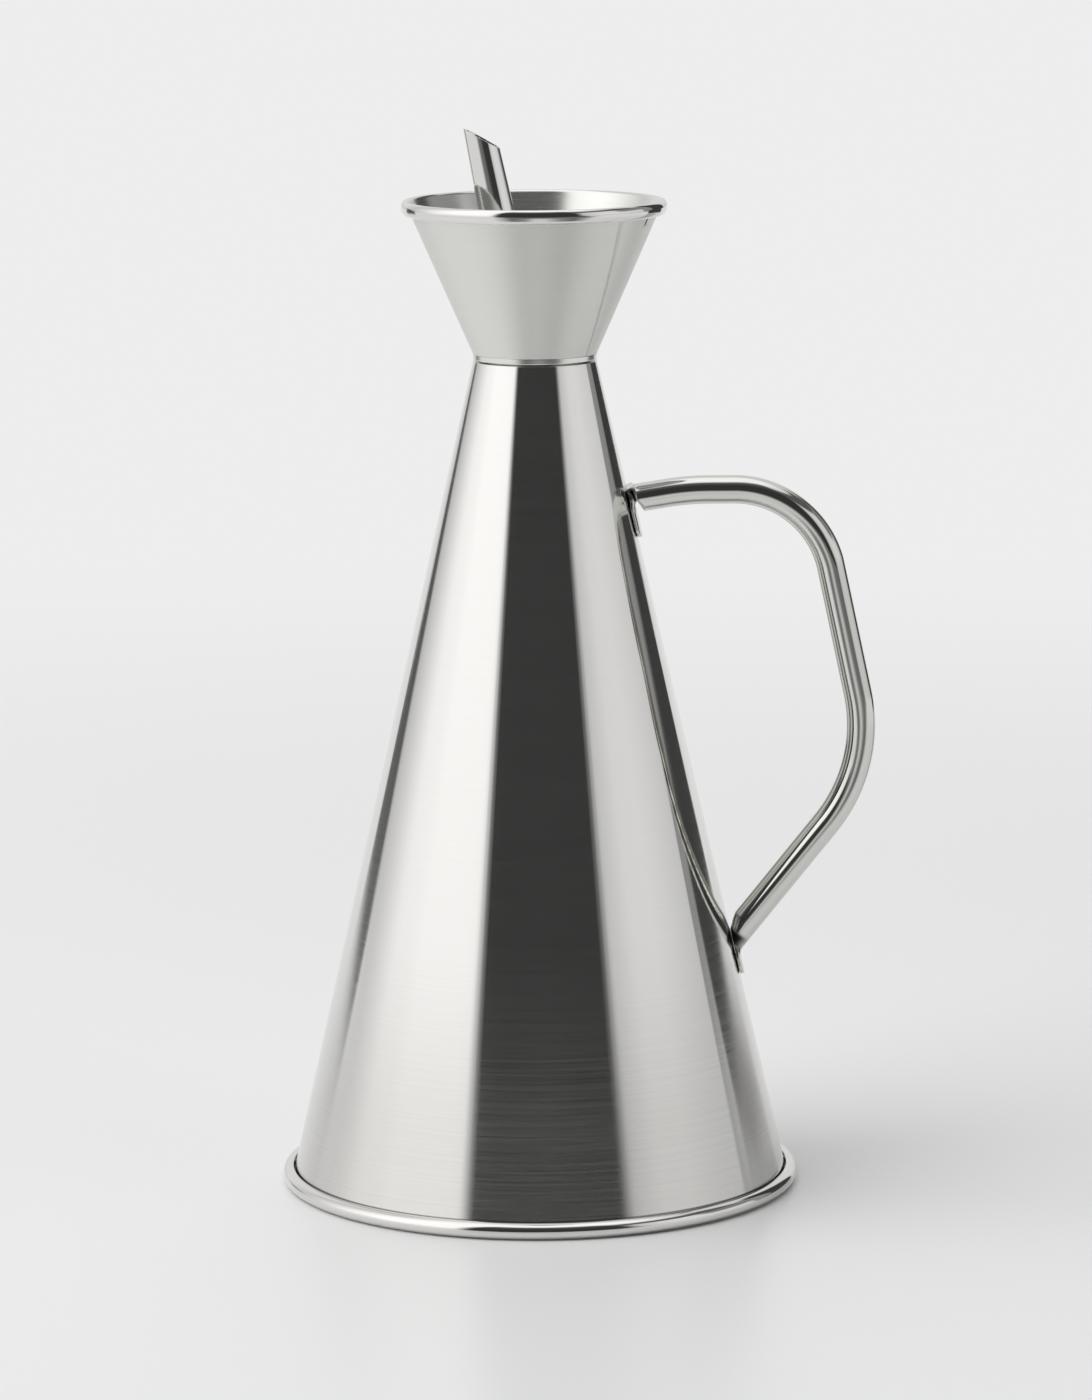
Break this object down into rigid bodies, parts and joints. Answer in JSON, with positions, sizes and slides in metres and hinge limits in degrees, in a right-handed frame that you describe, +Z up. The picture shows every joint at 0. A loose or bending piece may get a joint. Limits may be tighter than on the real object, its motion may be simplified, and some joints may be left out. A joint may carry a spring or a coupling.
{
  "type": "oil and vinegar jug",
  "caption": "Conical stainless steel oil jug with a bent tube handle and a lift-off drip funnel whose slanted tube pours.",
  "frame": {"origin": "centre of the base, on the surface that the jug stands on", "axes": "+Z up along the cone's axis, +X towards the handle"},
  "size_m": [0.1264, 0.1098, 0.2239],
  "materials": {
    "polished_steel": "polished, with fine lines round the body",
    "satin_steel": "satin"
  },
  "bodies": {
    "jug": {"body_cone": "polished_steel", "base_disc": "polished_steel", "neck_ring": "satin_steel", "handle_tube": "polished_steel"},
    "plug": {"plug_collar": "satin_steel"},
    "funnel": {"funnel_cup": "satin_steel", "funnel_floor": "satin_steel", "spout_tube": "polished_steel"}
  },
  "joints": [
    {"name": "funnel_lift", "type": "slide", "parent": "jug", "child": "plug", "axis": [0, 0, 1], "range_m": [0, 0.05]},
    {"name": "spout_turn", "type": "hinge", "parent": "plug", "child": "funnel", "pos_m": [0, 0, 0.177], "axis": [0, 0, 1], "continuous": true}
  ]
}
